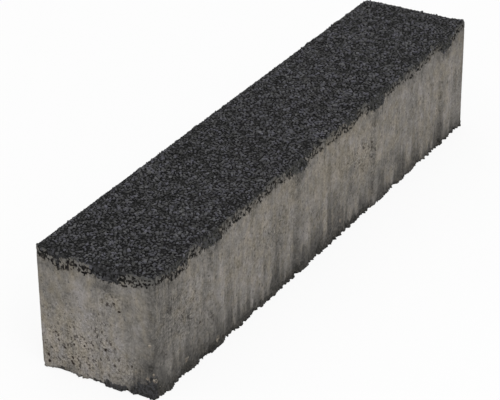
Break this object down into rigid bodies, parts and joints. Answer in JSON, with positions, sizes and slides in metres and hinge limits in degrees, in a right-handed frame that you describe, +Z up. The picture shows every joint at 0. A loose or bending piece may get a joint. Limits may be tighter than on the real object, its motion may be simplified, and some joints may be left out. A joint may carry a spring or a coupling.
{
  "type": "concrete paving brick",
  "caption": "Long narrow concrete paving brick with a dark granular facing on a grey core, rounded upright corners, a rounded top arris and spacer nibs.",
  "frame": {"origin": "middle of the bed face, the flat underside that the brick is laid on", "axes": "+X along the brick's length, +Y across its width, +Z up out of the wearing face"},
  "size_m": [0.401, 0.081, 0.08],
  "materials": {
    "concrete": "matte"
  },
  "bodies": {
    "root": {"paving_brick": "concrete"}
  },
  "joints": []
}
